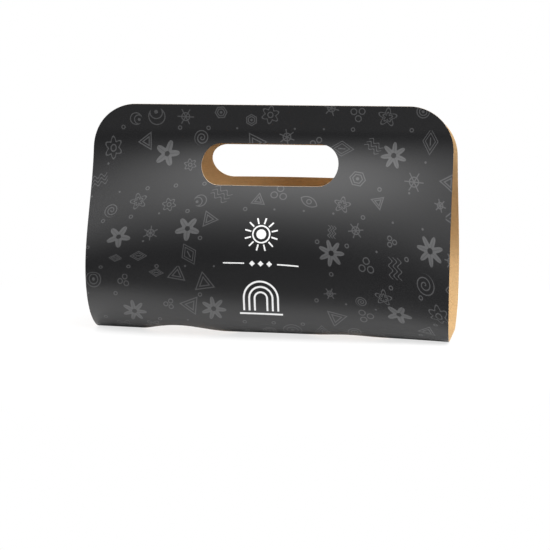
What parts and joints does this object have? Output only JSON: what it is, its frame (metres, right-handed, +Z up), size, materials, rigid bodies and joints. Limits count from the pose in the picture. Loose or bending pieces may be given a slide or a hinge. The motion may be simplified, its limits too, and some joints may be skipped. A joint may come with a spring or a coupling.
{
  "type": "cup carrier sleeve",
  "caption": "Cardboard cup carrier bent from one strip into a loop, its two ends glued into a flat top handle with a hand slot, round cup holes in the base",
  "frame": {"origin": "under the middle of the loop, on the surface that the flat land of the base rests on", "axes": "+X along the handle, towards the end whose front edge is flared; +Y to the back; +Z up"},
  "size_m": [0.2586, 0.0892, 0.1605],
  "materials": {
    "printed_card": "matte charcoal print outside, bare brown kraft inside"
  },
  "bodies": {
    "root": {"carrier_sleeve": "printed_card"}
  },
  "joints": []
}
